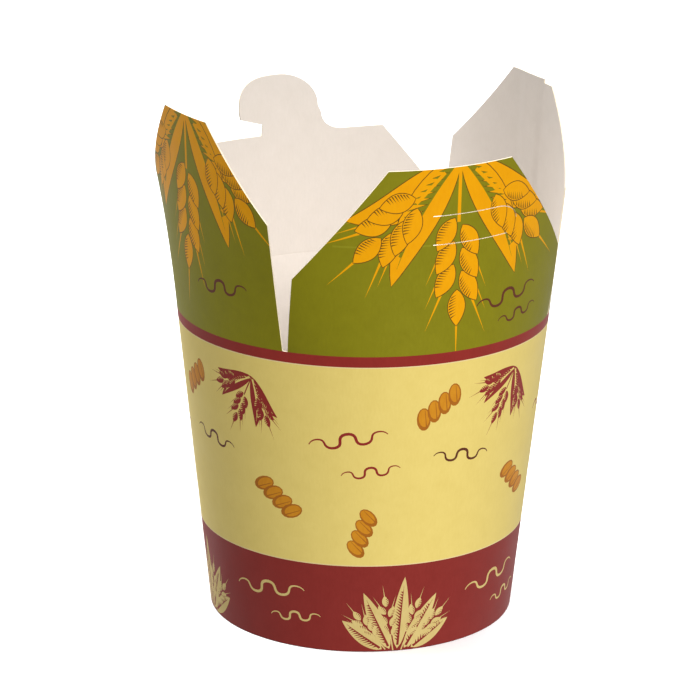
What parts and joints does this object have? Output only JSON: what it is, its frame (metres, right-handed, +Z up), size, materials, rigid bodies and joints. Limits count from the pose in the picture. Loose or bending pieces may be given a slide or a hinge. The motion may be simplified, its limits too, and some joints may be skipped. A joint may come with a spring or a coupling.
{
  "type": "noodle takeaway box",
  "caption": "Round-based paperboard noodle box, standing open: conical printed wall, recessed base and hinged closing flaps with a tongue and lock cuts.",
  "frame": {"origin": "on the table, at the middle of the round foot", "axes": "+Z up; the front flap with the lock cuts is at -Y, the back flap with the tongue at +Y, the narrow side flaps at -X and +X"},
  "size_m": [0.1149, 0.1096, 0.155],
  "materials": {
    "printed_wall": "coated satin, printed outside, white inside",
    "printed_flap": "coated satin, printed outside, white inside",
    "white_board": "coated satin, white"
  },
  "bodies": {
    "cup": {"wall": "printed_wall", "base": "white_board"},
    "front_flap": {"flap_front": "printed_flap"},
    "right_flap": {"flap_right": "printed_flap"},
    "back_flap": {"flap_back": "printed_flap"},
    "left_flap": {"flap_left": "printed_flap"}
  },
  "joints": [
    {"name": "front_crease", "type": "hinge", "parent": "cup", "child": "front_flap", "pos_m": [0, -0.03402, 0.0926], "axis": [-1, 0, 0], "range_deg": [0, 12]},
    {"name": "back_crease", "type": "hinge", "parent": "cup", "child": "back_flap", "pos_m": [0, 0.03402, 0.0926], "axis": [1, 0, 0], "range_deg": [0, 12]},
    {"name": "right_crease", "type": "hinge", "parent": "cup", "child": "right_flap", "pos_m": [0.04185, 0, 0.0926], "axis": [0, -1, 0], "range_deg": [0, 50]},
    {"name": "left_crease", "type": "hinge", "parent": "cup", "child": "left_flap", "pos_m": [-0.04185, 0, 0.0926], "axis": [0, 1, 0], "range_deg": [0, 50]}
  ]
}
